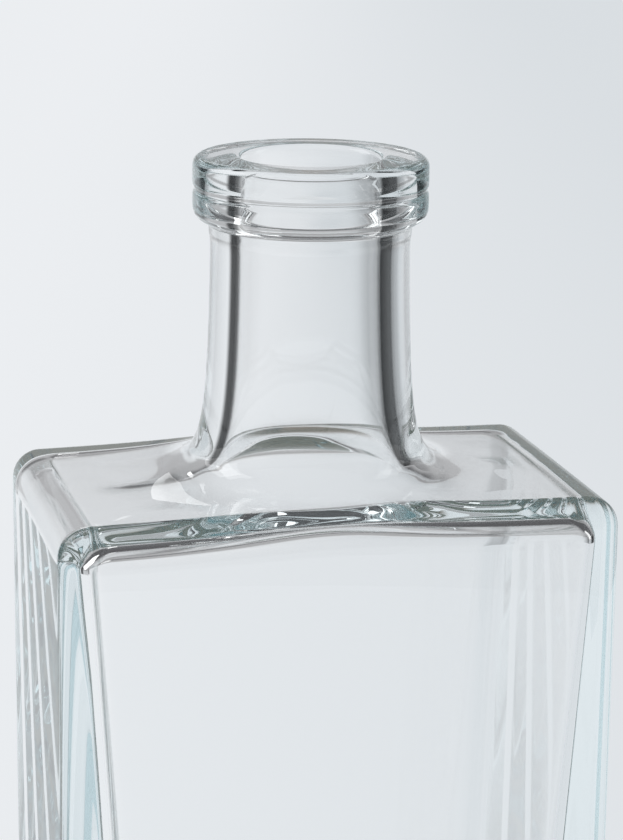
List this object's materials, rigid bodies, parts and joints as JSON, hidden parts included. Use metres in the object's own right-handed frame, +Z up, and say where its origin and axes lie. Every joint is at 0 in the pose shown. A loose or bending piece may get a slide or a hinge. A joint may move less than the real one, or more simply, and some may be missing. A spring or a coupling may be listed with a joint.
{
  "type": "liquor bottle",
  "caption": "Empty rectangular liquor bottle in thick clear glass, with crisp rounded edges, a swept shoulder, a short round neck and a broad collar for a push-in stopper.",
  "frame": {"origin": "middle of the foot, on the surface that the bottle stands on", "axes": "+Z up along the neck's axis, +X along the broad faces' width, the broad front face looks along -Y"},
  "size_m": [0.076, 0.047, 0.19],
  "materials": {
    "clear_glass": "fire-polished clear flint glass with a faint blue-green tint where it is thick"
  },
  "bodies": {
    "root": {"bottle": "clear_glass"}
  },
  "joints": []
}
